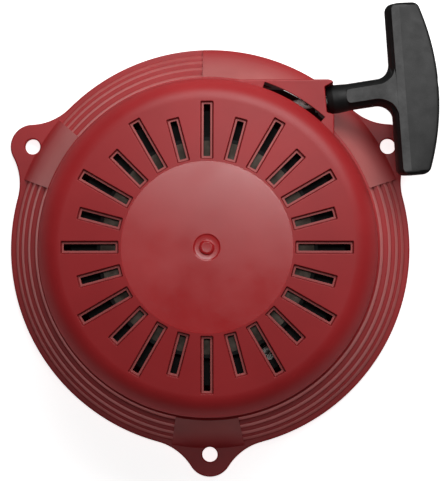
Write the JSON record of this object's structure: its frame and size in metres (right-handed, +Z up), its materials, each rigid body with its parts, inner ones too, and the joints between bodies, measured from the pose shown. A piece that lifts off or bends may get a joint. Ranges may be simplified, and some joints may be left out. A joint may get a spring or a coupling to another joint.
{
  "type": "recoil starter",
  "caption": "Round recoil starter: vented domed case with three fixing ears, rope reel with ratchets and return spring, and a T-handle on a rope.",
  "frame": {"origin": "centre of the mounting face, on the crankshaft axis", "axes": "+Z up the crankshaft axis and out of the domed top; +X towards the side where the rope leaves; the mounting face is z = 0"},
  "size_m": [0.1879, 0.2064, 0.0523],
  "materials": {
    "red_moulding": "satin red moulded plastic",
    "black_grip": "grained black moulded plastic",
    "rope": "braided off-white nylon with dark flecks",
    "black_reel": "black glass-filled nylon",
    "zinc_steel": "zinc-plated steel",
    "spring_steel": "oiled spring steel",
    "cover_steel": "phosphated steel sheet",
    "brass": "turned brass"
  },
  "bodies": {
    "housing": {"starter_case": "red_moulding", "rope_eyelet": "zinc_steel", "threaded_insert": "brass", "centre_screw": "zinc_steel", "screw_washer": "zinc_steel", "guide_collar": "zinc_steel"},
    "reel_unit": {"reel": "black_reel", "spring_cover": "cover_steel", "recoil_spring": "spring_steel", "rope_wound": "rope", "rope_knot_reel": "rope"},
    "guide": {"ratchet_guide": "black_reel", "friction_spring": "spring_steel"},
    "first_ratchet": {"ratchet_a": "zinc_steel", "ratchet_spring_a": "spring_steel"},
    "second_ratchet": {"ratchet_b": "zinc_steel", "ratchet_spring_b": "spring_steel"},
    "handle": {"handle_grip": "black_grip", "rope_run": "rope", "rope_knot_handle": "rope", "knot_washer": "zinc_steel"}
  },
  "joints": [
    {"name": "handle_pull", "type": "slide", "parent": "housing", "child": "handle", "axis": [0.9883, 0.1528, 0], "range_m": [0, 1.2], "deforming": ["rope_run"]},
    {"name": "reel_spin", "type": "hinge", "parent": "housing", "child": "reel_unit", "pos_m": [0, 0, 0.031], "axis": [0, 0, 1], "range_deg": [-1260, 0], "stiffness_Nm_per_rad": 0.036, "springref_deg": 1031.32, "deforming": ["recoil_spring"]},
    {"name": "guide_turn", "type": "hinge", "parent": "reel_unit", "child": "guide", "pos_m": [0, 0, 0.012], "axis": [0, 0, 1], "range_deg": [0, 25]},
    {"name": "ratchet_a_swing", "type": "hinge", "parent": "reel_unit", "child": "first_ratchet", "pos_m": [0.02, 0, 0.0165], "axis": [0, 0, 1], "range_deg": [0, 24.2], "stiffness_Nm_per_rad": 0.004, "springref_deg": -28.65},
    {"name": "ratchet_b_swing", "type": "hinge", "parent": "reel_unit", "child": "second_ratchet", "pos_m": [-0.02, 0, 0.0165], "axis": [0, 0, 1], "range_deg": [0, 24.2], "stiffness_Nm_per_rad": 0.004, "springref_deg": -28.65}
  ],
  "couplings": [
    {"joint": "reel_spin", "follows": "handle_pull", "rad_per_m": -18.182},
    {"joint": "ratchet_a_swing", "follows": "guide_turn", "ratio": 0.96},
    {"joint": "ratchet_b_swing", "follows": "guide_turn", "ratio": 0.96}
  ]
}
